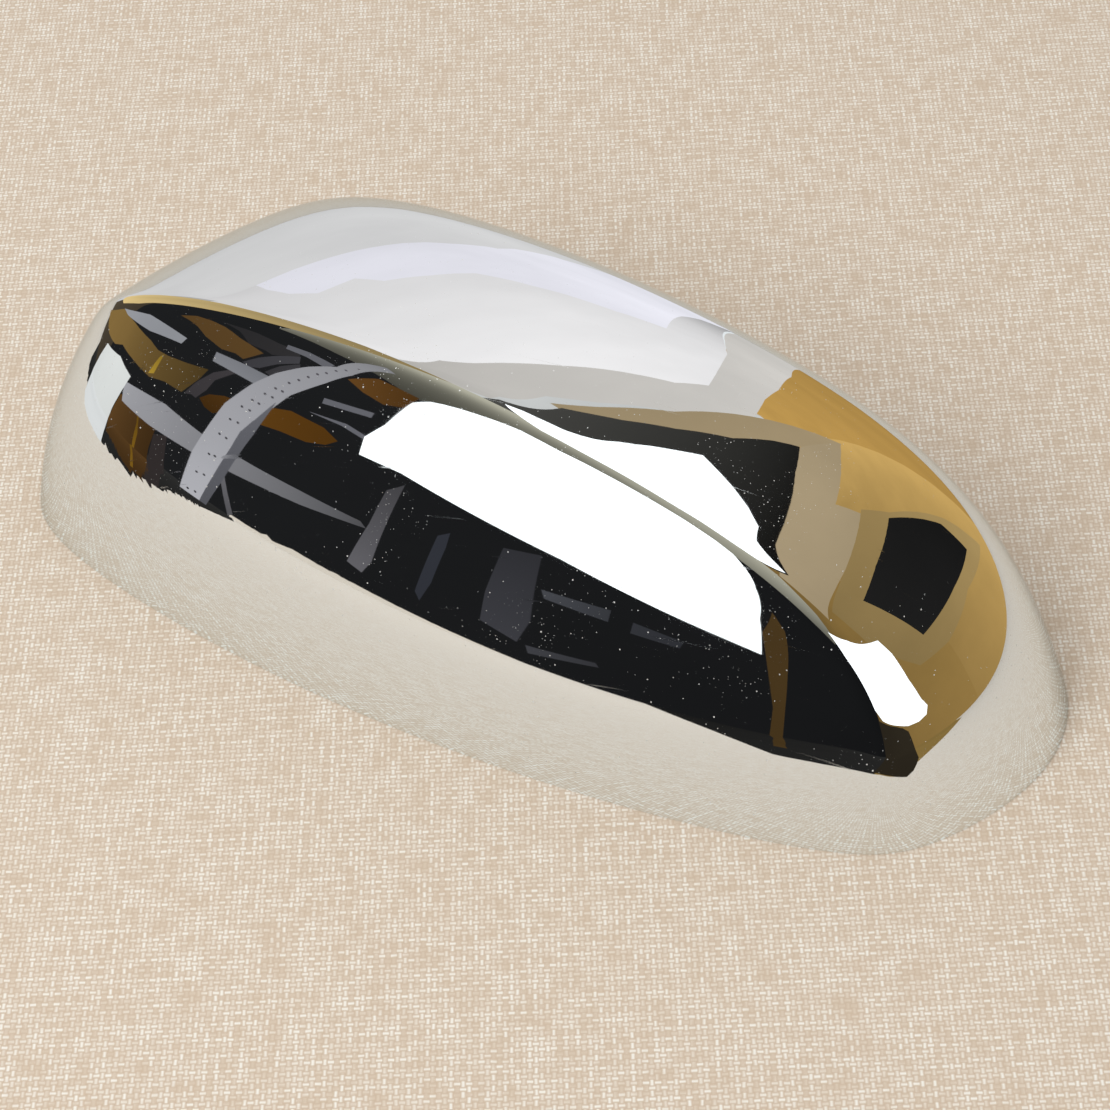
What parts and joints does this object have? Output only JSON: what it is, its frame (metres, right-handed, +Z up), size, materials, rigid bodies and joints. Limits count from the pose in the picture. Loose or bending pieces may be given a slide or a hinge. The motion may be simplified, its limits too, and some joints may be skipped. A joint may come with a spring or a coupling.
{
  "type": "wing mirror cover",
  "caption": "Chrome-plated cover for the back of a door mirror: a domed moulded shell with a crease along its crown, open below, with snap tabs and locating pins inside.",
  "frame": {"origin": "middle of the rim's box in plan, on the plane that the rim stands on", "axes": "+X along the cover towards its lower, tapering end; +Y from the creased near side to the full far side; +Z up from the open underside to the crown"},
  "size_m": [0.2518, 0.1274, 0.0743],
  "materials": {
    "chrome": "mirror-bright plating on a plastic moulding, satin on the inside"
  },
  "bodies": {
    "root": {"cover": "chrome"}
  },
  "joints": []
}
